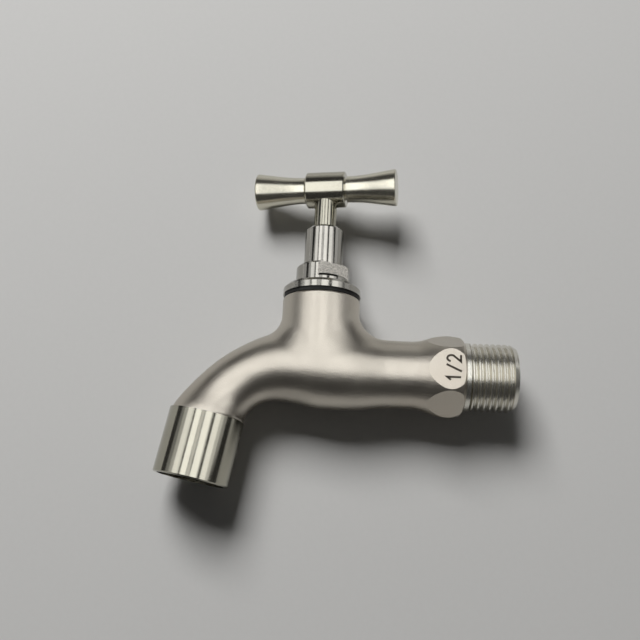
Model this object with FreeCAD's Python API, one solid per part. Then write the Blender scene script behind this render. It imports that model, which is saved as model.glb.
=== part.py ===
# Stainless steel wall tap with a T-bar handle. Millimetres, +Z up, +X into the wall.
# The origin is the centre of the inlet thread's shoulder, on the axis of the inlet pipe.
import FreeCAD
import Part
import math
import os
from FreeCAD import Vector

os.makedirs("parts", exist_ok=True)

# Inlet pipe and its G 1/2 thread
thread_r = 10.4775
thread_pitch = 1.814
thread_depth = 1.05
thread_crest = 0.42
thread_valley = 0.32
thread_length = 15.7
thread_land = 1.3
thread_start = 0.55
thread_end_chamfer = 1.25
thread_end_chamfer_length = 2.0
ridge_below_land = 0.03
ridge_sink = 0.25
inlet_bore_r = 7.4
inlet_bore_chamfer = 0.6

# Outside of the casting; the neck's radius sets the other wide places
spindle_to_shoulder = 44.6
neck_r = 12.2
neck_top = 23.0
neck_wall = 3.2
swell_over_neck = 0.6
swell_flats = 22.4
swell_end_fall = 0.8
shoulder_bevel = 1.0
pipe_under_neck = 1.85
swell_length = 16.0
swell_peak = 4.85
belly_length = 25.0
belly_rise = 1.0
neck_edge = 0.8
neck_foot = 0.9
side_blend = 7.0
front_blend = 32.0
swell_shape_rise = 0.5
swell_shape_fall = 0.25

# Circles of the belly from the pipe past the spindle: share of the belly's length, share of its rise,
# turn in degrees, and the radius as a share of the way from the pipe's to the neck's
belly_stations = [
    (1.0, 0.0, 0.0, 0.0),
    (0.84, 0.0, 0.0, 0.06),
    (0.6, 0.12, 0.0, 0.49),
    (0.36, 0.45, 0.0, 0.93),
    (0.16, 0.75, 0.0, 1.08),
    (-0.04, 0.95, 1.0, 1.015),
    (-0.2, 1.0, 5.0, 0.72),
]

# Spout and outlet
outlet_reach = 36.96
outlet_drop = 34.74
outlet_tilt = 10.3
# Circles of the spout: shares of the reach and of the drop to the sleeve's top, share of the turn,
# and the radius as a share of the neck's
spout_stations = [
    (0.28, -0.059, 0.15, 0.919),
    (0.552, 0.06, 0.27, 0.795),
    (0.751, 0.315, 0.49, 0.754),
    (0.882, 0.61, 0.70, 0.779),
    (0.963, 0.86, 0.90, 0.861),
    (1.0, 1.0, 1.0, 0.893),
]
sleeve_over_spout = 0.685
sleeve_length = 19.83
sleeve_edge = 0.35
sleeve_wall = 1.88
sleeve_lip_width = 1.3
sleeve_lip = 1.4
mouth_wall = 1.28
mouth_depth = 1.6
spigot_clearance = 0.06
spigot_root = 2.0

# Flow control insert and its washer
insert_height = 6.5
insert_wall = 1.0
insert_clearance = 0.3
insert_foot = 0.8
insert_foot_width = 0.8
slot_count = 8
slot_width = 2.0
slot_height = 1.2
slot_above_grid = 0.5
grid_height = 1.8
grid_pitch = 2.0
grid_web = 0.5
grid_rim = 0.6
screen_height = 0.8
screen_drop = 1.5
screen_step = 0.5
screen_hole_r = 0.55
screen_hole_pitch = 1.9
disc_clearance = 0.05
outlet_washer_height = 2.0
outlet_washer_clearance = 0.2
outlet_washer_width = 2.5

# Valve chamber and seat inside the casting
seat_z = 3.2
seat_lip = 1.2
seat_bore_r = 5.0
seat_lip_width = 1.5
port_r = 4.5
port_z = -4.3
inlet_bore_end = 11.5

# Bonnet
bonnet_thread_clearance = 0.05
bonnet_foot_clearance = 0.5
bonnet_foot_chamfer = 0.8
gasket_height = 1.13
gasket_under_neck = 0.3
gasket_bore_clearance = 0.25
flange_over_neck = 0.11
flange_height = 2.97
flange_bevel = 1.1
collar_r = 8.5
collar_height = 6.7
collar_edge = 0.7
flat_distance = 6.55
flat_ledge = 1.0
flat_turn = 31.0
gland_r = 6.23
gland_height = 13.2
gland_edge = 0.8
stem_clearance = 0.06
seal_clearance = 0.05
gland_roof = 3.0

# Spindle
stem_r = 3.67
seal_r = 4.3
spindle_thread_r = 5.45
spindle_thread_length = 11.5
spindle_nose_r = 4.4
spindle_nose = 1.6
spindle_thread_clearance = 0.05
valve_lift = 5.0
lift_margin = 0.2
stop_washer_height = 1.5
stop_washer_clearance = 0.1
seal_length = 15.6
seal_first_groove = 10.0
seal_groove_spacing = 3.2
o_ring_section_r = 0.72
o_ring_clearance = 0.03
groove_side_clearance = 0.2
stem_top_above_bar = 2.6
stem_top_edge = 0.4

# Jumper, the plate that carries the rubber washer
jumper_r = 7.3
jumper_height = 1.8
jumper_stem_r = 2.5
jumper_stem_length = 8.0
jumper_bore_clearance = 0.06
jumper_bore_depth = 9.0
jumper_stud_r = 1.95
jumper_stud_end = 0.3
clip_groove_z = 4.6
clip_groove_height = 0.9
clip_wire_r = 0.35
clip_groove_depth = 0.45
clip_clearance = 0.03
clip_gap = 40.0
clip_pocket_depth = 0.45
tap_washer_r = 7.0
tap_washer_height = 3.0
washer_edge = 0.4
plate_r = 3.8
plate_height = 0.8
nut_flats = 5.5
nut_height = 2.0
stud_clearance = 0.05

# Handle
bar_z = 61.45
bar_turn = -9.0
hub_r = 5.87
hub_half = 6.41
hub_edge = 0.35
hub_bore_clearance = 0.12
rod_r = 2.0
rod_clearance = 0.05
rod_half = 17.0
grip_neck_r = 3.5
grip_neck = 0.55
grip_waist_r = 4.3
grip_end_r = 6.0
grip_half = 23.2
grip_edge = 0.6
grip_bore_spare = 0.5
flare_early = 0.14
flare_late = 0.55

# Where the seam of the pipe's turned face lies, away from the seams of the neck
seam_turn = 120

# How near counts as touching, and the shortest edge that is blended
touch = 0.01
shortest_edge = 1.0

# Sizes that follow from the neck
neck_bore_r = neck_r - neck_wall
swell_r = neck_r + swell_over_neck
pipe_r = neck_r - pipe_under_neck
gasket_r = neck_r - gasket_under_neck
flange_r = neck_r + flange_over_neck
sleeve_r = neck_r * spout_stations[-1][-1] + sleeve_over_spout
sleeve_bore_r = sleeve_r - sleeve_wall
sleeve_lip_r = sleeve_bore_r - sleeve_lip_width
mouth_r = sleeve_r - mouth_wall
spout_bore_r = sleeve_bore_r - outlet_washer_clearance - outlet_washer_width

# Places that follow from the sizes
up = Vector(0, 0, 1)
along_x = Vector(1, 0, 0)
spindle_axis = Vector(-spindle_to_shoulder, 0, 0)
gasket_top = neck_top + gasket_height
flange_top = gasket_top + flange_height
collar_top = flange_top + collar_height
gland_top = collar_top + gland_height
jumper_foot = seat_z + tap_washer_height
spindle_foot = jumper_foot + jumper_height
spindle_shoulder = spindle_foot + spindle_nose + spindle_thread_length
stop_washer_top = spindle_shoulder + stop_washer_height
seal_top = stop_washer_top + seal_length
bonnet_foot_z = spindle_foot + valve_lift + bonnet_foot_clearance
bonnet_shoulder = stop_washer_top + valve_lift + lift_margin
seal_bore_top = gland_top - gland_roof
insert_foot_z = mouth_depth + sleeve_lip
insert_top = insert_foot_z + insert_height
insert_r = sleeve_bore_r - insert_clearance
spigot_end = insert_top + outlet_washer_height
spigot_r = sleeve_bore_r - spigot_clearance
tilt = math.radians(outlet_tilt)
outlet_up = Vector(math.sin(tilt), 0, math.cos(tilt))
outlet_mouth = spindle_axis + Vector(-outlet_reach, 0, -outlet_drop)
sleeve_top = outlet_mouth + outlet_up * sleeve_length
bar_along = Vector(math.cos(math.radians(bar_turn)), math.sin(math.radians(bar_turn)), 0)
bar_centre = spindle_axis + up * bar_z


def save(node, shape):
    """Writes one node's file and prints what is in it."""
    shape.exportStep("parts/" + node + ".step")
    box = shape.BoundBox
    print(node, "solids", len(shape.Solids), "valid", shape.isValid(), "volume", round(shape.Volume, 1),
          "z", round(box.ZMin, 2), round(box.ZMax, 2))


def rod(r, z0, z1, base=Vector(0, 0, 0), axis=up):
    return Part.makeCylinder(r, z1 - z0, base + axis * z0, axis)


def ring(r_out, r_in, z0, z1, base=Vector(0, 0, 0), axis=up):
    return rod(r_out, z0, z1, base, axis).cut(rod(r_in, z0, z1, base, axis))


def turned(points, base=Vector(0, 0, 0), axis=up):
    """Turns an outline of (radius, height) points about an axis through base."""
    side = Vector(1, 0, 0) if abs(axis.x) < 0.9 else Vector(0, 0, 1)
    side = (side - axis * side.dot(axis)).normalize()
    corners = [base + side * r + axis * z for r, z in points]
    return Part.Face(Part.makePolygon(corners + corners[:1])).revolve(base, axis, 360)


def hexagon(flats, start, end, corner):
    """Six-sided bar from start to end, with one corner of its section towards the given direction."""
    along = end - start
    corner_r = flats / math.sqrt(3)
    points = []
    for turn in range(6):
        spoke = FreeCAD.Rotation(along, 60 * turn).multVec(corner)
        points.append(start + spoke * corner_r)
    return Part.Face(Part.makePolygon(points + points[:1])).extrude(along)


# Casting, outside
def run_outside():
    """Pipe from the belly to the shoulder: a straight stretch, then the swell with its six spanner flats."""
    belly_end = belly_length - spindle_to_shoulder
    rise_x = -(swell_length + swell_peak) / 2
    rise_r = pipe_r + (swell_r - pipe_r) * swell_shape_rise
    fall_x = -(swell_peak + shoulder_bevel) / 2
    fall_r = swell_r - swell_end_fall * swell_shape_fall
    edge = Vector(-shoulder_bevel, 0, swell_r - swell_end_fall)
    straight = Part.makeLine(Vector(belly_end, 0, pipe_r), Vector(-swell_length, 0, pipe_r))
    swell = Part.BSplineCurve()
    swell.interpolate(
        Points=[
            Vector(-swell_length, 0, pipe_r),
            Vector(rise_x, 0, rise_r),
            Vector(-swell_peak, 0, swell_r),
            Vector(fall_x, 0, fall_r),
            edge,
        ]
    )
    bevel = Part.makeLine(edge, Vector(0, 0, thread_r))
    end = Part.makeLine(Vector(0, 0, thread_r), Vector(0, 0, 0))
    middle = Part.makeLine(Vector(0, 0, 0), Vector(belly_end, 0, 0))
    start = Part.makeLine(Vector(belly_end, 0, 0), Vector(belly_end, 0, pipe_r))
    outline = Part.Wire([straight, swell.toShape(), bevel, end, middle, start])
    run = Part.Face(outline).revolve(Vector(0, 0, 0), along_x, 360)
    run.rotate(Vector(0, 0, 0), along_x, seam_turn)
    return run.common(hexagon(swell_flats, Vector(belly_end, 0, 0), Vector(0, 0, 0), up))


def inlet_thread():
    """One helical ridge on a plain core, with a plain land beside the shoulder and a chamfered end."""
    root_r = thread_r - thread_depth
    crest_r = thread_r - ridge_below_land
    half_crest = thread_crest / 2
    half_root = (thread_pitch - thread_valley) / 2
    half_foot = half_root + ridge_sink * (half_root - half_crest) / thread_depth
    foot_r = root_r - ridge_sink
    corners = [
        Vector(foot_r, 0, -half_foot),
        Vector(crest_r, 0, -half_crest),
        Vector(crest_r, 0, half_crest),
        Vector(foot_r, 0, half_foot),
    ]
    helix = Part.makeHelix(thread_pitch, thread_length, root_r)
    ridge = Part.Wire(helix).makePipeShell([Part.Wire(Part.makePolygon(corners + corners[:1]))], True, True)
    ridge.translate(up * thread_start)
    whole = rod(root_r, 0, thread_length).fuse([rod(thread_r, 0, thread_land), ridge])
    slope = thread_end_chamfer / thread_end_chamfer_length
    spare = thread_pitch
    trim = turned(
        [
            (foot_r - thread_end_chamfer, thread_length),
            (thread_r - thread_end_chamfer, thread_length),
            (thread_r + spare * slope, thread_length - thread_end_chamfer_length - spare),
            (thread_r + spare * 2, thread_length - thread_end_chamfer_length - spare),
            (thread_r + spare * 2, thread_length + spare),
            (foot_r - thread_end_chamfer, thread_length + spare),
        ]
    )
    whole = whole.cut(trim)
    whole.rotate(Vector(0, 0, 0), Vector(0, 1, 0), 90)
    return whole


def circle(r, centre, along):
    """Circle square to a direction in the plane y = 0; it always starts on the underside."""
    under = along.cross(Vector(0, 1, 0))
    edge = Part.makeCircle(r)
    edge.Placement = FreeCAD.Placement(centre, FreeCAD.Rotation(under, along.cross(under), along, "ZXY"))
    return Part.Wire(edge)


def spout_circles(bore_r=None):
    """Circles down the spout to the sleeve's top, all of one radius where it is the bore."""
    circles = []
    for reach, drop, turn, width in spout_stations:
        centre = spindle_axis + Vector((sleeve_top.x - spindle_axis.x) * reach, 0, sleeve_top.z * drop)
        angle = (math.pi / 2 - tilt) * turn
        along = Vector(-math.cos(angle), 0, -math.sin(angle))
        circles.append(circle(bore_r or neck_r * width, centre, along))
    return circles


def outer_tube():
    """Belly and spout as one loft from the pipe to the outlet sleeve."""
    circles = []
    for reach, rise, turn, width in belly_stations:
        centre = spindle_axis + Vector(belly_length * reach, 0, belly_rise * rise)
        along = Vector(-math.cos(math.radians(turn)), 0, -math.sin(math.radians(turn)))
        circles.append(circle(pipe_r + (neck_r - pipe_r) * width, centre, along))
    return Part.makeLoft(circles + spout_circles(), True, False)


def neck_outside():
    """Upright cylinder in four quarters, so that its seams lie on the sides, front and back."""
    foot = spindle_axis + up * neck_foot
    half_turn = FreeCAD.Rotation(up, 45)
    quarters = []
    for i in range(4):
        first = FreeCAD.Rotation(up, 90 * i).multVec(Vector(neck_r, 0, 0))
        middle = half_turn.multVec(first)
        last = half_turn.multVec(middle)
        quarters.append(Part.Arc(foot + first, foot + middle, foot + last).toShape())
    return Part.Face(Part.Wire(quarters)).extrude(up * (neck_top - neck_foot))


def blend_radius(point):
    """The blend is tight where pipe and spout leave the neck, and grows to the front and back."""
    offset = point - spindle_axis
    return side_blend + (front_blend - side_blend) * math.atan2(abs(offset.y), abs(offset.x)) / (math.pi / 2)


def blend_neck(shape):
    """Blends the neck into belly and spout, with its own radius at each end of each edge."""
    sheet = FreeCAD.newDocument("casting")
    base = sheet.addObject("Part::Feature", "base")
    base.Shape = shape
    rows = []
    for number, edge in enumerate(shape.Edges, 1):
        ends = [edge.Vertexes[0].Point, edge.Vertexes[-1].Point]
        reach = max(math.hypot(end.x - spindle_axis.x, end.y) for end in ends)
        box = edge.BoundBox
        on_neck = reach < neck_r + touch and box.ZMin > neck_foot and box.ZMax < neck_top
        upright = box.XLength < touch
        if on_neck and not upright and box.DiagonalLength > shortest_edge:
            rows.append((number, blend_radius(ends[0]), blend_radius(ends[1])))
    blend = sheet.addObject("Part::Fillet", "blend")
    blend.Base = base
    blend.Edges = rows
    sheet.recompute()
    blended = blend.Shape.copy()
    FreeCAD.closeDocument("casting")
    return blended


def casting_outside():
    whole = blend_neck(outer_tube().fuse(neck_outside()))
    rim = [edge for edge in whole.Edges if edge.BoundBox.ZMin > neck_top - touch]
    return whole.makeFillet(neck_edge, rim).fuse(run_outside())


def water_way():
    """Every hollow of the casting: inlet bore, port, seat, chamber, neck bore and spout bore."""
    left = -spindle_to_shoulder
    bore_left = left + inlet_bore_end
    inlet = rod(inlet_bore_r, bore_left, thread_length, axis=along_x)
    mouth = Part.makeCone(
        inlet_bore_r, inlet_bore_r + inlet_bore_chamfer, inlet_bore_chamfer,
        Vector(thread_length - inlet_bore_chamfer, 0, 0), along_x,
    )
    port = rod(port_r, left, bore_left + port_r, Vector(0, 0, port_z), along_x)
    well = rod(seat_bore_r, port_z - port_r, seat_z, spindle_axis)
    floor = seat_z - seat_lip
    chamber = rod(neck_bore_r, floor, neck_top, spindle_axis)
    lip = ring(seat_bore_r + seat_lip_width, seat_bore_r, floor, seat_z, spindle_axis)
    start = circle(spout_bore_r, spindle_axis, Vector(-1, 0, 0))
    spout = Part.makeLoft([start] + spout_circles(spout_bore_r), True, False)
    deck = Part.makeBox(neck_bore_r * 2, neck_r * 2, neck_r * 2)
    deck.translate(spindle_axis + Vector(-neck_bore_r + seat_lip_width / 2, -neck_r, floor - neck_r * 2))
    return inlet.fuse([mouth, port, well, chamber.cut(lip), spout.cut(deck).cut(lip)])


def body():
    """Casting with its inlet thread, and the spigot that the outlet sleeve screws onto."""
    spigot = rod(spigot_r, spigot_end, sleeve_length + spigot_root, outlet_mouth, outlet_up)
    bore = rod(spout_bore_r, spigot_end, sleeve_length, outlet_mouth, outlet_up)
    whole = casting_outside().fuse(spigot).fuse(inlet_thread())
    return whole.cut(water_way()).cut(bore)


# Outlet sleeve and what it holds, on the outlet's own axis with the mouth at height 0
def place_on_outlet(shape):
    shape.rotate(Vector(0, 0, 0), Vector(0, 1, 0), outlet_tilt)
    shape.translate(outlet_mouth)
    return shape


def outlet_sleeve():
    sleeve = turned(
        [
            (mouth_r, 0),
            (sleeve_r - sleeve_edge, 0),
            (sleeve_r, sleeve_edge),
            (sleeve_r, sleeve_length),
            (sleeve_bore_r, sleeve_length),
            (sleeve_bore_r, insert_foot_z),
            (sleeve_lip_r, insert_foot_z),
            (sleeve_lip_r, mouth_depth),
            (mouth_r, mouth_depth),
        ]
    )
    return place_on_outlet(sleeve)


def outlet_washer():
    r = sleeve_bore_r - outlet_washer_clearance
    return place_on_outlet(ring(r, spout_bore_r, insert_top, insert_top + outlet_washer_height))


def aerator_shell():
    """Cup with a foot for the grid, a step for the screen and air slots through its wall."""
    inner_r = insert_r - insert_wall
    step_z = insert_top - screen_drop
    cup = turned(
        [
            (inner_r - insert_foot_width, insert_foot_z),
            (insert_r, insert_foot_z),
            (insert_r, insert_top),
            (inner_r + screen_step, insert_top),
            (inner_r + screen_step, step_z),
            (inner_r, step_z),
            (inner_r, insert_foot_z + insert_foot),
            (inner_r - insert_foot_width, insert_foot_z + insert_foot),
        ]
    )
    slot_z = insert_foot_z + insert_foot + grid_height + slot_above_grid
    for i in range(slot_count):
        slot = Part.makeBox(insert_r * 2, slot_width, slot_height, Vector(0, -slot_width / 2, slot_z))
        slot.rotate(Vector(0, 0, 0), up, 360 / slot_count * i)
        cup = cup.cut(slot)
    return place_on_outlet(cup)


def aerator_grid():
    """Round plate with square cells that straighten the jet."""
    r = insert_r - insert_wall - disc_clearance
    foot = insert_foot_z + insert_foot
    plate = rod(r, foot, foot + grid_height)
    cell = grid_pitch - grid_web
    reach = int((r - grid_rim) / grid_pitch)
    cells = []
    for i in range(-reach, reach + 1):
        for j in range(-reach, reach + 1):
            x, y = i * grid_pitch, j * grid_pitch
            corner = math.hypot(abs(x) + cell / 2, abs(y) + cell / 2)
            if corner < r - grid_rim:
                place = Vector(x - cell / 2, y - cell / 2, foot)
                cells.append(Part.makeBox(cell, cell, grid_height, place))
    return place_on_outlet(plate.cut(Part.makeCompound(cells)))


def aerator_screen():
    """Thin round plate with rings of small holes, on the shell's step."""
    r = insert_r - insert_wall + screen_step - disc_clearance
    foot = insert_top - screen_drop
    plate = rod(r, foot, foot + screen_height)
    holes = [rod(screen_hole_r, foot, foot + screen_height)]
    for k in range(1, int((r - grid_rim) / screen_hole_pitch) + 1):
        ring_r = screen_hole_pitch * k
        if ring_r + screen_hole_r > r - grid_rim:
            continue
        for i in range(6 * k):
            angle = 2 * math.pi * i / (6 * k)
            place = Vector(ring_r * math.cos(angle), ring_r * math.sin(angle), 0)
            holes.append(rod(screen_hole_r, foot, foot + screen_height, place))
    return place_on_outlet(plate.cut(Part.makeCompound(holes)))


# Bonnet and its gasket, about the spindle's axis
def bonnet():
    """Threaded foot, flange, collar with two spanner flats, and the gland that guides the stem."""
    thread = neck_bore_r - bonnet_thread_clearance
    spindle_bore = spindle_thread_r + spindle_thread_clearance
    seal_bore = seal_r + seal_clearance
    stem_bore = stem_r + stem_clearance
    whole = turned(
        [
            (spindle_bore, bonnet_foot_z),
            (thread - bonnet_foot_chamfer, bonnet_foot_z),
            (thread, bonnet_foot_z + bonnet_foot_chamfer),
            (thread, gasket_top),
            (flange_r, gasket_top),
            (flange_r, flange_top - flange_bevel),
            (flange_r - flange_bevel, flange_top),
            (collar_r, flange_top),
            (collar_r, collar_top - collar_edge),
            (collar_r - collar_edge, collar_top),
            (gland_r, collar_top),
            (gland_r, gland_top - gland_edge),
            (gland_r - gland_edge, gland_top),
            (stem_bore, gland_top),
            (stem_bore, seal_bore_top),
            (seal_bore, seal_bore_top),
            (seal_bore, bonnet_shoulder),
            (spindle_bore, bonnet_shoulder),
        ],
        spindle_axis,
    )
    flat_z = flange_top + flat_ledge
    for half_turn in (0, 180):
        corner = Vector(flat_distance, -collar_r, flat_z)
        block = Part.makeBox(collar_r, collar_r * 2, collar_top - flat_z, corner)
        block.rotate(Vector(0, 0, 0), up, flat_turn - 90 + half_turn)
        block.translate(spindle_axis)
        whole = whole.cut(block)
    return whole


def bonnet_gasket():
    bore = neck_bore_r + gasket_bore_clearance
    return ring(gasket_r, bore, neck_top, gasket_top, spindle_axis)


# Spindle and what turns with it
def groove_heights():
    first = stop_washer_top + seal_first_groove
    return [first - seal_groove_spacing, first]


def o_ring_centre_r():
    return seal_r + seal_clearance - o_ring_clearance - o_ring_section_r


def spindle():
    """Nose, threaded part, seal part with two grooves, and the stem with its cross hole for the rod."""
    groove_r = o_ring_centre_r() - o_ring_section_r - o_ring_clearance
    half_groove = o_ring_section_r + groove_side_clearance
    stem_top = bar_z + stem_top_above_bar
    outline = [
        (0, spindle_foot),
        (spindle_nose_r, spindle_foot),
        (spindle_nose_r, spindle_foot + spindle_nose),
        (spindle_thread_r, spindle_foot + spindle_nose),
        (spindle_thread_r, spindle_shoulder),
        (seal_r, spindle_shoulder),
    ]
    for z in groove_heights():
        outline += [
            (seal_r, z - half_groove),
            (groove_r, z - half_groove),
            (groove_r, z + half_groove),
            (seal_r, z + half_groove),
        ]
    outline += [
        (seal_r, seal_top),
        (stem_r, seal_top),
        (stem_r, stem_top - stem_top_edge),
        (stem_r - stem_top_edge, stem_top),
        (0, stem_top),
    ]
    whole = turned(outline, spindle_axis)
    bore_r = jumper_stem_r + jumper_bore_clearance
    clip_z = spindle_foot + clip_groove_z
    whole = whole.cut(rod(bore_r, spindle_foot, spindle_foot + jumper_bore_depth, spindle_axis))
    whole = whole.cut(rod(bore_r + clip_pocket_depth, clip_z, clip_z + clip_groove_height, spindle_axis))
    return whole.cut(rod(rod_r + rod_clearance, -hub_r, hub_r, bar_centre, bar_along))


def o_ring(z):
    return Part.makeTorus(o_ring_centre_r(), o_ring_section_r, spindle_axis + up * z, up)


def stop_washer():
    inner = seal_r + stop_washer_clearance
    outer = spindle_thread_r - stop_washer_clearance
    return ring(outer, inner, spindle_shoulder, stop_washer_top, spindle_axis)


# Jumper and what it carries
def jumper():
    """Round plate with a stem up into the spindle and a stud down through the rubber washer."""
    clip_z = spindle_foot + clip_groove_z
    groove_r = jumper_stem_r - clip_groove_depth
    return turned(
        [
            (0, jumper_stud_end),
            (jumper_stud_r, jumper_stud_end),
            (jumper_stud_r, jumper_foot),
            (jumper_r, jumper_foot),
            (jumper_r, spindle_foot - washer_edge),
            (jumper_r - washer_edge, spindle_foot),
            (jumper_stem_r, spindle_foot),
            (jumper_stem_r, clip_z),
            (groove_r, clip_z),
            (groove_r, clip_z + clip_groove_height),
            (jumper_stem_r, clip_z + clip_groove_height),
            (jumper_stem_r, spindle_foot + jumper_stem_length - washer_edge),
            (jumper_stem_r - washer_edge, spindle_foot + jumper_stem_length),
            (0, spindle_foot + jumper_stem_length),
        ],
        spindle_axis,
    )


def jumper_clip():
    """Open wire ring in the jumper's groove; it springs out into the spindle's pocket."""
    middle = spindle_foot + clip_groove_z + clip_groove_height / 2
    centre_r = jumper_stem_r - clip_groove_depth + clip_wire_r + clip_clearance
    arc = Part.makeCircle(centre_r, spindle_axis + up * middle, up, 0, 360 - clip_gap)
    start = spindle_axis + Vector(centre_r, 0, middle)
    wire = Part.Wire(Part.makeCircle(clip_wire_r, start, Vector(0, 1, 0)))
    return Part.Wire(arc).makePipeShell([wire], True, False)


def tap_washer():
    inner = jumper_stud_r + stud_clearance
    return turned(
        [
            (inner, seat_z),
            (tap_washer_r - washer_edge, seat_z),
            (tap_washer_r, seat_z + washer_edge),
            (tap_washer_r, jumper_foot),
            (inner, jumper_foot),
        ],
        spindle_axis,
    )


def washer_plate():
    return ring(plate_r, jumper_stud_r + stud_clearance, seat_z - plate_height, seat_z, spindle_axis)


def washer_nut():
    top = seat_z - plate_height
    foot = top - nut_height
    nut = hexagon(nut_flats, spindle_axis + up * foot, spindle_axis + up * top, along_x)
    return nut.cut(rod(jumper_stud_r + stud_clearance, foot, top, spindle_axis))


# Handle, along the bar's own axis from the spindle outwards
def handle_hub():
    hub = turned(
        [
            (0, -hub_half),
            (hub_r - hub_edge, -hub_half),
            (hub_r, -hub_half + hub_edge),
            (hub_r, hub_half - hub_edge),
            (hub_r - hub_edge, hub_half),
            (0, hub_half),
        ],
        bar_centre,
        bar_along,
    )
    stem_hole_top = bar_z + stem_top_above_bar + hub_bore_clearance
    hub = hub.cut(rod(stem_r + hub_bore_clearance, bar_z - hub_r * 2, stem_hole_top, spindle_axis))
    return hub.cut(rod(rod_r + rod_clearance, -hub_half, hub_half, bar_centre, bar_along))


def handle_rod():
    return rod(rod_r, -rod_half, rod_half, bar_centre, bar_along)


def handle_grip(side):
    """Flared grip with a short neck against the hub, bored for the rod."""
    along = bar_along * side
    across = up.cross(along)
    neck_end = hub_half + grip_neck
    flare_end = grip_half - grip_edge
    flare_length = flare_end - neck_end
    widening = grip_end_r - grip_waist_r
    bore_r = rod_r + rod_clearance

    def at(r, distance):
        return bar_centre + along * distance + across * r

    flare = Part.BSplineCurve()
    flare.interpolate(
        Points=[
            at(grip_waist_r, neck_end),
            at(grip_waist_r + widening * flare_early, neck_end + flare_length / 3),
            at(grip_waist_r + widening * flare_late, neck_end + flare_length * 2 / 3),
            at(grip_end_r, flare_end),
        ]
    )
    rounding = Part.Arc(
        at(grip_end_r, flare_end),
        at(grip_end_r - grip_edge * (1 - math.sqrt(0.5)), flare_end + grip_edge * math.sqrt(0.5)),
        at(grip_end_r - grip_edge, grip_half),
    )
    rod_end = rod_half + grip_bore_spare
    corners = [
        at(grip_end_r - grip_edge, grip_half),
        at(0, grip_half),
        at(0, rod_end),
        at(bore_r, rod_end),
        at(bore_r, hub_half),
        at(grip_neck_r, hub_half),
        at(grip_neck_r, neck_end),
        at(grip_waist_r, neck_end),
    ]
    outline = Part.Wire([flare.toShape(), rounding.toShape()] + Part.makePolygon(corners).Edges)
    return Part.Face(outline).revolve(bar_centre, along, 360)


lower_groove, upper_groove = groove_heights()
save("body", body())
save("outlet_sleeve", outlet_sleeve())
save("outlet_washer", outlet_washer())
save("aerator_shell", aerator_shell())
save("aerator_grid", aerator_grid())
save("aerator_screen", aerator_screen())
save("bonnet", bonnet())
save("bonnet_gasket", bonnet_gasket())
save("spindle", spindle())
save("o_ring_lower", o_ring(lower_groove))
save("o_ring_upper", o_ring(upper_groove))
save("stop_washer", stop_washer())
save("jumper", jumper())
save("jumper_clip", jumper_clip())
save("tap_washer", tap_washer())
save("washer_plate", washer_plate())
save("washer_nut", washer_nut())
save("handle_hub", handle_hub())
save("handle_rod", handle_rod())
save("handle_grip_left", handle_grip(-1))
save("handle_grip_right", handle_grip(1))
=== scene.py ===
import bpy
import math
import numpy as np
from mathutils import Matrix, Vector


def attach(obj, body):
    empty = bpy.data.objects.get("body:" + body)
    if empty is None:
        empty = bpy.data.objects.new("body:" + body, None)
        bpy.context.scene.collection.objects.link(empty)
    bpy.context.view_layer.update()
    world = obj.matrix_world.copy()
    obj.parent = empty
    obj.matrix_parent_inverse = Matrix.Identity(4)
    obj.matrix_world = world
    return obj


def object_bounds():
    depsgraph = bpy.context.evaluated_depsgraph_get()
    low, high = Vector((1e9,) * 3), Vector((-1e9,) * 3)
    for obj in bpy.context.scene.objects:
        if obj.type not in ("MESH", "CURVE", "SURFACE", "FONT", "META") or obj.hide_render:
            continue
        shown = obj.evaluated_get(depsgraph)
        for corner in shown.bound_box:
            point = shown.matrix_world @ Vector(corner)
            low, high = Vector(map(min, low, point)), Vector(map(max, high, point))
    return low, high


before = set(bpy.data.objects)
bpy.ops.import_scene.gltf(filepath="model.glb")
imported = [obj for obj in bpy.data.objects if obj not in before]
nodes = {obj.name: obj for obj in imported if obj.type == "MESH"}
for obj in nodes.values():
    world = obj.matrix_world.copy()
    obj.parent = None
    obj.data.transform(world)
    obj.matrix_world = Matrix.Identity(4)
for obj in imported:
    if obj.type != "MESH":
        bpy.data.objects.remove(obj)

cadLow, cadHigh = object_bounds()
scene = bpy.context.scene
scene.view_settings.view_transform = "Standard"


# Places that the finishes, the lips and the light are set out from
places = {
    "spindle": Vector((-0.0446, 0, 0)),
    "mouth": Vector((-0.08156, 0, -0.03474)),
    "outletTilt": math.radians(10.3),
    "barTurn": math.radians(-9),
    "barHeight": 0.06145,
    "flangeTop": 0.0271,
    "flatDistance": 0.00655,
    "flatTurn": math.radians(-59),
}
outletAxis = Vector((math.sin(places["outletTilt"]), 0, math.cos(places["outletTilt"])))
barAxis = Vector((math.cos(places["barTurn"]), math.sin(places["barTurn"]), 0))
flatAxis = Vector((math.cos(places["flatTurn"]), math.sin(places["flatTurn"]), 0))
barCentre = places["spindle"] + Vector((0, 0, places["barHeight"]))
upAxis = Vector((0, 0, 1))
inletAxis = Vector((1, 0, 0))


# Camera, at the photograph's place and angle
view = {
    "place": Vector((-0.036375, -0.248194, -0.055329)),
    "forward": Vector((-0.03270, 0.95991, 0.27838)),
    "up": Vector((-0.03714, -0.27950, 0.95943)),
    "lens": 46.03,
    "sensor": 36.0,
    "nearest": 0.01,
}


def makeCamera():
    forward = view["forward"].normalized()
    right = forward.cross(view["up"]).normalized()
    up = right.cross(forward)
    camera = bpy.data.objects.new("camera", bpy.data.cameras.new("camera"))
    scene.collection.objects.link(camera)
    turn = Matrix((right, up, -forward)).transposed().to_4x4()
    camera.matrix_world = Matrix.Translation(view["place"]) @ turn
    camera.data.lens = view["lens"]
    camera.data.sensor_width = view["sensor"]
    camera.data.clip_start = view["nearest"]
    scene.camera = camera


makeCamera()
print("camera set")


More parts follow.
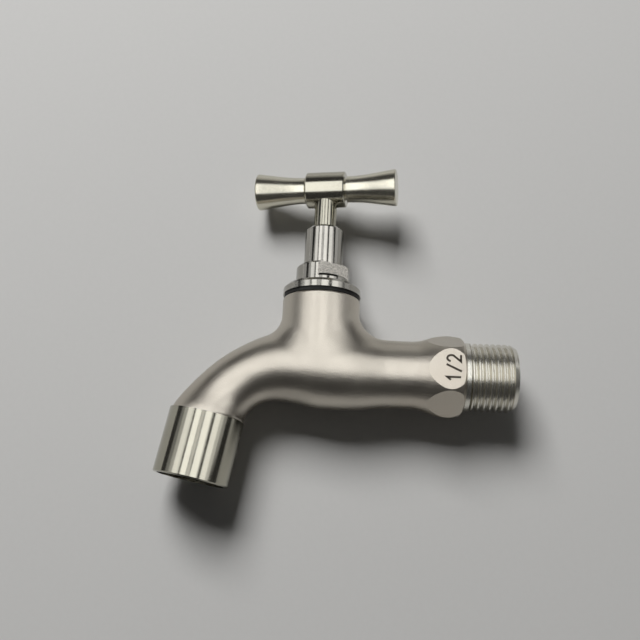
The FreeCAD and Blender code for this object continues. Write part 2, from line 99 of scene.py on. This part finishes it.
# One number over a surface; + - * between fields or with plain numbers add Math nodes
class Field:
    def __init__(self, shader, socket):
        self.shader = shader
        self.socket = socket

    def join(self, operation, first, second):
        return self.shader.add("ShaderNodeMath", {"operation": operation}, {0: first, 1: second})

    def __add__(self, other):
        return self.join("ADD", self, other)

    def __sub__(self, other):
        return self.join("SUBTRACT", self, other)

    def __rsub__(self, other):
        return self.join("SUBTRACT", other, self)

    def __mul__(self, other):
        return self.join("MULTIPLY", self, other)

    def __abs__(self):
        return self.join("ABSOLUTE", self, 0.0)


# The nodes of a material or of the world
class Shader:
    def __init__(self, owner):
        self.owner = owner
        owner.use_nodes = True
        self.tree = owner.node_tree
        self.tree.nodes.clear()

    # Adds a node: its settings first, then its sockets' values or links; gives back one output
    def add(self, kind, settings, sockets, outlet=0):
        node = self.tree.nodes.new(kind)
        for name, value in settings.items():
            setattr(node, name, value)
        for name, value in sockets.items():
            if isinstance(value, Field):
                self.tree.links.new(value.socket, node.inputs[name])
            else:
                node.inputs[name].default_value = value
        return Field(self, node.outputs[outlet]) if node.outputs else node

    def place(self):
        return self.add("ShaderNodeTexCoord", {}, {}, "Object")

    def vectorMath(self, operation, first, second=None, outlet=0):
        sockets = {0: first} if second is None else {0: first, 1: second}
        return self.add("ShaderNodeVectorMath", {"operation": operation}, sockets, outlet)

    def noise(self, scale, detail=2.0, roughness=0.5):
        sockets = {"Vector": self.place(), "Scale": scale, "Detail": detail, "Roughness": roughness}
        return self.add("ShaderNodeTexNoise", {}, sockets)

    # Brings a number from low..high to first..last, held at both ends
    def spread(self, value, low, high, first, last):
        ends = {"From Min": low, "From Max": high, "To Min": first, "To Max": last}
        return self.add("ShaderNodeMapRange", {}, {"Value": value, **ends})

    # Noise lies mostly within reach of a half; this brings it to first..last
    def fromNoise(self, value, first, last, reach=0.2):
        return self.spread(value, 0.5 - reach, 0.5 + reach, first, last)

    # The same as a share from 0 to 1, to blend two colours by
    def share(self, value, reach=0.15):
        return self.fromNoise(value, 0.0, 1.0, reach)

    def blendColour(self, share, first, second):
        return self.add("ShaderNodeMix", {"data_type": "RGBA"}, {0: share, 6: first, 7: second}, 2)

    def bump(self, height, distance):
        sockets = {"Height": height, "Distance": distance, "Strength": 1.0}
        return self.add("ShaderNodeBump", {}, sockets)

    def finish(self, sockets):
        surface = self.add("ShaderNodeBsdfPrincipled", {}, sockets)
        self.add("ShaderNodeOutputMaterial", {}, {"Surface": surface})
        return self.owner


def newShader(name):
    return Shader(bpy.data.materials.new(name))


# How far a point lies along a line from centre
def distanceAlong(shader, centre, axis):
    offset = shader.vectorMath("SUBTRACT", shader.place(), centre)
    return shader.vectorMath("DOT_PRODUCT", offset, axis, "Value")


# How far a point lies from the line through centre
def distanceFrom(shader, centre, axis):
    offset = shader.vectorMath("SUBTRACT", shader.place(), centre)
    across = shader.vectorMath("CROSS_PRODUCT", offset, axis)
    return shader.vectorMath("LENGTH", across, outlet="Value")


# Fine rings left by the lathe: noise of the distance along the axis plus the distance from it,
# so that one run of rings lies on sides and end faces alike
def latheRings(shader, centre, axis, scale):
    ringPlace = distanceAlong(shader, centre, axis) + distanceFrom(shader, centre, axis)
    sockets = {"W": ringPlace * scale, "Scale": 1.0, "Detail": 3.0, "Roughness": 0.6}
    return shader.add("ShaderNodeTexNoise", {"noise_dimensions": "1D"}, sockets)


# Bead-blasted casting; beyond the shoulder the thread and its land are cut bright
castFinish = {
    "colour": (0.585, 0.545, 0.475, 1),
    "dull": (0.555, 0.515, 0.45, 1),
    "tint": (0.53, 0.47, 0.395, 1),
    "cutColour": (0.74, 0.72, 0.655, 1),
    "cutStart": -0.0002,
    "grainScale": 3000.0,
    "pebbleScale": 1300.0,
    "waveScale": 110.0,
    "ringScale": 5200.0,
    "tintScale": 30.0,
    "tintFrom": 0.5,
    "tintTo": 0.72,
    "tintShare": 0.6,
    "grainShare": 0.4,
    "pebbleShare": 0.35,
    "ringShare": 0.15,
    "bumpDepth": 0.00008,
    "roughness": 0.29,
    "waveRoughness": 0.03,
    "grainRoughness": 0.06,
    "cutRoughness": 0.26,
}


def castSteel():
    s = newShader("castSteel")
    f = castFinish
    grain = s.noise(f["grainScale"], roughness=0.6)
    pebble = s.noise(f["pebbleScale"])
    wave = s.noise(f["waveScale"], detail=3.0)
    rings = latheRings(s, (0, 0, 0), inletAxis, f["ringScale"])
    cut = s.spread(distanceAlong(s, (0, 0, 0), inletAxis), f["cutStart"], 0.0, 0.0, 1.0)
    brightness = s.share(wave * (1 - f["grainShare"]) + grain * f["grainShare"])
    tinted = s.spread(s.noise(f["tintScale"]), f["tintFrom"], f["tintTo"], 0.0, f["tintShare"])
    cast = s.blendColour(tinted, s.blendColour(brightness, f["dull"], f["colour"]), f["tint"])
    smooth, rough = f["roughness"] - f["waveRoughness"], f["roughness"] + f["waveRoughness"]
    blasted = s.fromNoise(wave, smooth, rough) + grain * f["grainRoughness"]
    pitted = grain * (1 - f["pebbleShare"]) + pebble * f["pebbleShare"]
    return s.finish({
        "Base Color": s.blendColour(cut, cast, f["cutColour"]),
        "Metallic": 1.0,
        "Roughness": blasted * (1 - cut) + cut * f["cutRoughness"],
        "Normal": s.bump(pitted * (1 - cut) + rings * cut * f["ringShare"], f["bumpDepth"]),
    })


# Steel turned and polished about one axis
turnedFinish = {
    "colour": (0.57, 0.55, 0.46, 1),
    "dull": (0.51, 0.49, 0.41, 1),
    "ringScale": 5200.0,
    "ringDepth": 0.000003,
    "ringRoughness": 0.04,
    "grainScale": 2600.0,
    "grainDepth": 0.000004,
    "smearScale": 150.0,
    "smearSmooth": -0.02,
    "smearRough": 0.03,
}


def turnedColour(s, rings, smear, dull, bright):
    return s.blendColour(s.share(rings * 0.5 + smear * 0.5), dull, bright)


def turnedRoughness(s, rings, smear, base):
    f = turnedFinish
    smeared = s.fromNoise(smear, base + f["smearSmooth"], base + f["smearRough"])
    return smeared + rings * f["ringRoughness"]


def turnedSteel(name, centre, axis, base, shade):
    s = newShader(name)
    f = turnedFinish
    dull, bright = [tuple(c * shade for c in f[k][:3]) + (1,) for k in ("dull", "colour")]
    rings = latheRings(s, centre, axis, f["ringScale"])
    grain = s.noise(f["grainScale"], roughness=0.6)
    smear = s.noise(f["smearScale"], detail=3.0)
    return s.finish({
        "Base Color": turnedColour(s, rings, smear, dull, bright),
        "Metallic": 1.0,
        "Roughness": turnedRoughness(s, rings, smear, base),
        "Normal": s.bump(rings * f["ringDepth"] + grain * f["grainDepth"], 1.0),
    })


# The bonnet is turned as well, but its two spanner flats are milled, and dull with a coarse grain.
# The finish changes a little above the flange, and a point is on a flat when its distance from
# the flat's plane is small
bonnetFinish = {
    "colour": (0.44, 0.425, 0.39, 1),
    "dull": (0.35, 0.34, 0.31, 1),
    "flatColour": (0.82, 0.785, 0.72, 1),
    "flatDull": (0.43, 0.41, 0.37, 1),
    "flatRoughness": 0.34,
    "flatGrainScale": 2600.0,
    "flatGrainReach": 0.12,
    "flatGrainDepth": 0.00003,
    "flatNear": 0.00002,
    "flatFar": 0.00006,
    "flangeRoughness": 0.09,
    "flangeGrainDepth": 0.000012,
    "aboveFlangeFrom": 0.0003,
    "aboveFlangeTo": 0.0005,
    "glandRoughness": 0.06,
}


def bonnetSteel():
    s = newShader("bonnetSteel")
    f, t = bonnetFinish, turnedFinish
    aboveFlange = s.spread(distanceAlong(s, places["spindle"], upAxis),
                           places["flangeTop"] + f["aboveFlangeFrom"],
                           places["flangeTop"] + f["aboveFlangeTo"], 0.0, 1.0)
    fromPlane = abs(abs(distanceAlong(s, places["spindle"], flatAxis)) - places["flatDistance"])
    flat = aboveFlange * s.spread(fromPlane, f["flatNear"], f["flatFar"], 1.0, 0.0)
    gland = aboveFlange * (1 - flat)
    flange = 1 - aboveFlange
    rings = latheRings(s, places["spindle"], upAxis, t["ringScale"])
    grain = s.noise(f["flatGrainScale"], roughness=0.6)
    smear = s.noise(t["smearScale"], detail=3.0)
    turned = turnedColour(s, rings, smear, f["dull"], f["colour"])
    milled = s.blendColour(s.share(grain, f["flatGrainReach"]), f["flatDull"], f["flatColour"])
    rough = turnedRoughness(s, rings, smear, 0.0) + gland * f["glandRoughness"] \
        + flat * f["flatRoughness"] + flange * f["flangeRoughness"]
    depth = gland * t["grainDepth"] + flat * f["flatGrainDepth"] + flange * f["flangeGrainDepth"]
    return s.finish({
        "Base Color": s.blendColour(flat, turned, milled),
        "Metallic": 1.0,
        "Roughness": rough,
        "Normal": s.bump(rings * t["ringDepth"] + grain * depth, 1.0),
    })


rubberFinish = {
    "colour": (0.012, 0.012, 0.012, 1),
    "dust": (0.035, 0.034, 0.032, 1),
    "dustScale": 260.0,
    "dustFrom": 0.4,
    "dustTo": 0.75,
    "skinScale": 3000.0,
    "skinDepth": 0.00001,
    "smooth": 0.45,
    "rough": 0.6,
    "shine": 0.2,
}


def blackRubber():
    s = newShader("blackRubber")
    f = rubberFinish
    skin = s.noise(f["skinScale"])
    dust = s.noise(f["dustScale"], detail=4.0, roughness=0.6)
    dusty = s.spread(dust, f["dustFrom"], f["dustTo"], 0.0, 1.0)
    return s.finish({
        "Base Color": s.blendColour(dusty, f["colour"], f["dust"]),
        "Roughness": s.fromNoise(skin, f["smooth"], f["rough"]),
        "Specular IOR Level": f["shine"],
        "Normal": s.bump(skin, f["skinDepth"]),
    })


plasticFinish = {
    "colour": (0.030, 0.030, 0.032, 1),
    "pale": (0.055, 0.055, 0.058, 1),
    "skinScale": 1800.0,
    "skinDepth": 0.000005,
    "smooth": 0.38,
    "rough": 0.5,
}


def blackPlastic():
    s = newShader("blackPlastic")
    f = plasticFinish
    skin = s.noise(f["skinScale"], detail=3.0)
    return s.finish({
        "Base Color": s.blendColour(skin, f["colour"], f["pale"]),
        "Roughness": s.fromNoise(skin, f["smooth"], f["rough"]),
        "Normal": s.bump(skin, f["skinDepth"]),
    })


# Turned finishes: centre, axis, roughness, shade and the pieces; the shade scales the colour. The
# hub and the grips are one steel, and the grips' higher shade is painted light
turnedSets = {
    "sleeveSteel": (places["mouth"], outletAxis, 0.09, 0.8, ["outlet_sleeve", "aerator_screen"]),
    "stemSteel": (places["spindle"], upAxis, 0.1, 0.72,
                  ["spindle", "jumper", "jumper_clip", "washer_plate", "washer_nut"]),
    "hubSteel": (barCentre, barAxis, 0.15, 0.88, ["handle_hub", "handle_rod"]),
    # Painted light: the grips' shade makes them brighter than the hub's steel
    "gripSteelPaintedLight": (barCentre, barAxis, 0.2, 1.25, ["handle_grip_left", "handle_grip_right"]),
}
rubberPieces = ["outlet_washer", "bonnet_gasket", "o_ring_lower", "o_ring_upper", "tap_washer"]
plasticPieces = ["aerator_shell", "aerator_grid", "stop_washer"]


def dress(material, names):
    for name in names:
        for slot in nodes[name].material_slots:
            slot.material = material


steelOfBonnet = bonnetSteel()
dress(steelOfBonnet, ["bonnet"])
dress(castSteel(), ["body"])
for name, (centre, axis, base, shade, names) in turnedSets.items():
    dress(turnedSteel(name, centre, axis, base, shade), names)
dress(blackRubber(), rubberPieces)
dress(blackPlastic(), plasticPieces)
print("finishes done")


# A piece of the scene's own
def newPiece(name, points, faces, material):
    mesh = bpy.data.meshes.new(name)
    mesh.from_pydata(points, [], faces)
    mesh.materials.append(material)
    piece = bpy.data.objects.new(name, mesh)
    scene.collection.objects.link(piece)
    return piece


# Faces of a bar whose points come as rings one after the other, each with as many corners: the
# sides between neighbouring rings, and a cap on the first and the last
def barFaces(rings, corners):
    start = np.arange(rings - 1)[:, None] * corners
    near, far = start + np.arange(corners), start + (np.arange(corners) + 1) % corners
    sides = np.stack((near, near + corners, far + corners, far), axis=-1).reshape(-1, 4)
    last = rings * corners - 1
    return sides.tolist() + [list(range(corners)), [last - i for i in range(corners)]]


# Raised lip under each spanner flat, where the milling cutter stopped: the collar's round outside
# goes on upwards, and ends in a steep bevel
lip = {
    "radius": 0.0085,
    "foot": 0.0010,
    "top": 0.0025,
    "bevelHeight": 0.0008,
    "bevelDepth": 0.00028,
    "sunk": 0.0001,
    "steps": 33,
}


# At each turn about the spindle one ring of points: up the round outside, in over the bevel, and
# down again inside the collar. The inside is a plane just behind the flat, so its distance from
# the axis is the plane's own distance over the cosine of the turn
def makeLip(name, side):
    turns = np.linspace(-1, 1, lip["steps"]) * math.acos(places["flatDistance"] / lip["radius"])
    inside = (places["flatDistance"] - lip["sunk"]) / np.cos(turns)
    outside = np.full_like(turns, lip["radius"])
    bevelled = np.maximum(outside - lip["bevelDepth"], inside)
    reach = np.column_stack((outside, outside, bevelled, inside, inside))
    height = places["flangeTop"] + np.array([
        lip["foot"], lip["top"] - lip["bevelHeight"], lip["top"], lip["top"], lip["foot"]])
    angle = places["flatTurn"] + (0 if side > 0 else math.pi) + turns[:, None]
    points = np.stack((places["spindle"].x + reach * np.cos(angle), reach * np.sin(angle),
                       np.broadcast_to(height, reach.shape)), axis=-1).reshape(-1, 3)
    piece = newPiece(name, points.tolist(), barFaces(*reach.shape), steelOfBonnet)
    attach(piece, "tap")


makeLip("collarLipFront", 1)
makeLip("collarLipBack", -1)
print("lips done")


# Size mark of the thread, etched into the swell's front flat and read upwards
mark = {
    "flat": 0.0112,
    "left": -0.00615,
    "foot": -0.0021,
    "start": -0.0037,
    "width": 0.0021,
    "gap": 0.0008,
    "stroke": 0.00064,
    "proud": 0.00003,
    "sunk": 0.00008,
    "spacing": 0.00012,
    "soot": (0.035, 0.028, 0.022, 1),
    "pale": (0.085, 0.07, 0.055, 1),
    "sootScale": 2400.0,
    "sootDepth": 0.00001,
    "metal": 0.5,
    "smooth": 0.5,
    "rough": 0.65,
}


# Points on an oval from one angle to another, in degrees
def arcPoints(centre, reach, first, last, count):
    angles = np.radians(np.linspace(first, last, count))
    across = centre[0] + reach[0] * np.cos(angles)
    return np.column_stack((across, centre[1] + reach[1] * np.sin(angles)))


# Each stroke is its character's number and a run of points, in character widths and heights. The
# two is an arc over the top, then straight down to the foot and along it
twoArc = arcPoints((0.5, 0.70), (0.44, 0.30), 170, -35, 24)
markStrokes = [
    (0, np.array([(0.12, 0.74), (0.55, 1.0), (0.55, 0.0)])),
    (1, np.array([(0.0, -0.06), (1.0, 1.06)])),
    (2, np.vstack((twoArc, [(0.04, 0.0), (1.0, 0.0)]))),
]


# More points between the corners of a run, at an even spacing that keeps the corners
def refine(corners, spacing):
    steps = np.maximum(1, np.ceil(np.hypot(*np.diff(corners, axis=0).T) / spacing).astype(int))
    shares = [np.arange(n)[:, None] / n for n in steps]
    runs = [a + (b - a) * t for a, b, t in zip(corners[:-1], corners[1:], shares)]
    return np.vstack(runs + [corners[-1:]])


# A bar along one run: its four edges are the run moved sideways by half the stroke, sunk and proud;
# at a corner the sideways step is longer, by one over the cosine of half the turn
def markBar(character, corners):
    scale = np.array([mark["width"], mark["foot"] - mark["left"]])
    run = refine(corners * scale, mark["spacing"])
    steps = np.diff(run, axis=0)
    normals = np.column_stack((-steps[:, 1], steps[:, 0])) / np.hypot(*steps.T)[:, None]
    bisector = np.vstack((normals[:1], normals)) + np.vstack((normals, normals[-1:]))
    sideways = bisector * (2 / (bisector ** 2).sum(axis=1))[:, None] * mark["stroke"] / 2
    across = run[:, None, :] + sideways[:, None, :] * np.array([-1, -1, 1, 1])[None, :, None]
    height = np.array([-mark["sunk"], mark["proud"], mark["proud"], -mark["sunk"]])
    start = mark["start"] + character * (mark["width"] + mark["gap"])
    front = np.broadcast_to(-(mark["flat"] + height), across.shape[:2])
    points = np.stack((mark["foot"] - across[..., 1], front, start + across[..., 0]), axis=-1)
    return points.reshape(-1, 3), np.array(barFaces(len(run), len(height)))


def etchedSteel():
    s = newShader("etchedSteel")
    soot = s.noise(mark["sootScale"], detail=3.0, roughness=0.6)
    return s.finish({
        "Base Color": s.blendColour(soot, mark["soot"], mark["pale"]),
        "Metallic": mark["metal"],
        "Roughness": s.fromNoise(soot, mark["smooth"], mark["rough"]),
        "Normal": s.bump(soot, mark["sootDepth"]),
    })


def makeMark():
    bars = [markBar(character, corners) for character, corners in markStrokes]
    firsts = np.cumsum([0] + [len(points) for points, faces in bars[:-1]])
    points = np.vstack([points for points, faces in bars])
    faces = np.vstack([faces + first for (points, faces), first in zip(bars, firsts)])
    piece = newPiece("sizeMark", points.tolist(), faces.tolist(), etchedSteel())
    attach(piece, "tap")


makeMark()
print("mark done")


# Pale surface that the tap lies on, one-sided: from behind it isn't there
surface = {
    "behind": 0.01245,
    "half": 1.5,
    "colour": (0.64, 0.635, 0.62, 1),
    "fibreScale": 700.0,
    "fibreShade": 0.97,
}


def makeSurface():
    half = surface["half"]
    corners = [(-half, -half), (half, -half), (half, half), (-half, half)]
    s = newShader("palePaper")
    fibre = s.noise(surface["fibreScale"], detail=3.0)
    shaded = tuple(c * surface["fibreShade"] for c in surface["colour"][:3]) + (1,)
    colour = s.blendColour(fibre, surface["colour"], shaded)
    front = s.add("ShaderNodeBsdfDiffuse", {}, {"Color": colour})
    behind = s.add("ShaderNodeBsdfTransparent", {}, {})
    backSide = s.add("ShaderNodeNewGeometry", {}, {}, "Backfacing")
    shown = s.add("ShaderNodeMixShader", {}, {0: backSide, 1: front, 2: behind})
    s.add("ShaderNodeOutputMaterial", {}, {"Surface": shown})
    points = [(x, surface["behind"], z) for x, z in corners]
    plane = newPiece("paleSurface", points, [(0, 1, 2, 3)], s.owner)
    plane.visible_shadow = False


makeSurface()
print("surface done")


# Panels that the steel mirrors, side by side in a plane in front of the tap and one at each side,
# and one large soft lamp from above on the left that lights the surface. Turns are from straight in
# front towards the wall, in degrees
lightPlan = {
    "panelPlane": -0.252,
    "panelLow": -0.097,
    "panelHigh": 0.229,
    "panels": [  # left, right, brightness
        (-0.900, -0.520, 0.25),
        (-0.520, -0.360, 0.6),
        (-0.360, -0.240, 1.5),
        (-0.240, -0.212, 1.2),
        (-0.186, -0.106, 1.9),
        (-0.100, -0.062, 1.0),
        (-0.052, 0.036, 1.85),
        (0.036, 0.056, 0.8),
        (0.096, 0.240, 1.6),
        (0.240, 0.400, 0.9),
        (0.400, 0.760, 0.4),
    ],
    "sides": [  # turn, brightness
        (-84, 0.5),
        (80, 0.6),
    ],
    "sideRise": 26,
    "sideDistance": 0.6,
    "sideWidth": 0.2,
    "sideHeight": 0.14,
    "softTurn": -20,
    "softRise": 38,
    "softDistance": 1.3,
    "softSize": 0.6,
    "softBrightness": 14.6,
    "roomColour": (1, 0.99, 0.97, 1),
    "roomStrength": 0.045,
    "ceilingStrength": 0.45,
    "ceilingFrom": 0.88,
    "ceilingTo": 0.97,
}


# A lamp's power for a wanted brightness is brightness times pi times its area
def makeLamp(name, centre, towards, width, height, brightness):
    lamp = bpy.data.lights.new(name, "AREA")
    lamp.shape = "RECTANGLE"
    lamp.size = width
    lamp.size_y = height
    lamp.energy = brightness * math.pi * width * height
    piece = bpy.data.objects.new(name, lamp)
    scene.collection.objects.link(piece)
    upward = (upAxis - towards * towards.z).normalized()
    turn = Matrix((upward.cross(towards), upward, towards)).transposed().to_4x4()
    piece.matrix_world = Matrix.Translation(centre) @ turn
    piece.visible_camera = False
    return piece


def makePanels():
    low, high = lightPlan["panelLow"], lightPlan["panelHigh"]
    towards = Vector((0, -1, 0))
    for i, (left, right, brightness) in enumerate(lightPlan["panels"]):
        centre = Vector(((left + right) / 2, lightPlan["panelPlane"], (low + high) / 2))
        panel = makeLamp("panel" + str(i), centre, towards, right - left, high - low, brightness)
        panel.visible_diffuse = False


# Direction from the tap at a turn and a rise
def directionAt(turn, rise):
    turn, rise = math.radians(turn), math.radians(rise)
    level = math.cos(rise)
    return Vector((math.sin(turn) * level, -math.cos(turn) * level, math.sin(rise)))


def makeSides():
    width, height = lightPlan["sideWidth"], lightPlan["sideHeight"]
    for i, (turn, brightness) in enumerate(lightPlan["sides"]):
        towards = directionAt(turn, lightPlan["sideRise"])
        centre = places["spindle"] + towards * lightPlan["sideDistance"]
        side = makeLamp("side" + str(i), centre, towards, width, height, brightness)
        side.visible_diffuse = False


def makeSoftLamp():
    towards = directionAt(lightPlan["softTurn"], lightPlan["softRise"])
    centre = Vector((cadLow + cadHigh) / 2) + towards * lightPlan["softDistance"]
    size = lightPlan["softSize"]
    lamp = makeLamp("softLamp", centre, towards, size, size, lightPlan["softBrightness"])
    lamp.visible_glossy = False


# A dim room that is paler straight above
def makeWorld():
    scene.world = bpy.data.worlds.new("room")
    s = Shader(scene.world)
    direction = s.add("ShaderNodeTexCoord", {}, {}, "Generated")
    rise = s.add("ShaderNodeSeparateXYZ", {}, {0: direction}, "Z")
    strength = s.spread(rise, lightPlan["ceilingFrom"], lightPlan["ceilingTo"],
                        lightPlan["roomStrength"], lightPlan["ceilingStrength"])
    background = {"Color": lightPlan["roomColour"], "Strength": strength}
    room = s.add("ShaderNodeBackground", {}, background)
    s.add("ShaderNodeOutputWorld", {}, {"Surface": room})


makePanels()
makeSides()
makeSoftLamp()
makeWorld()
print("light done")
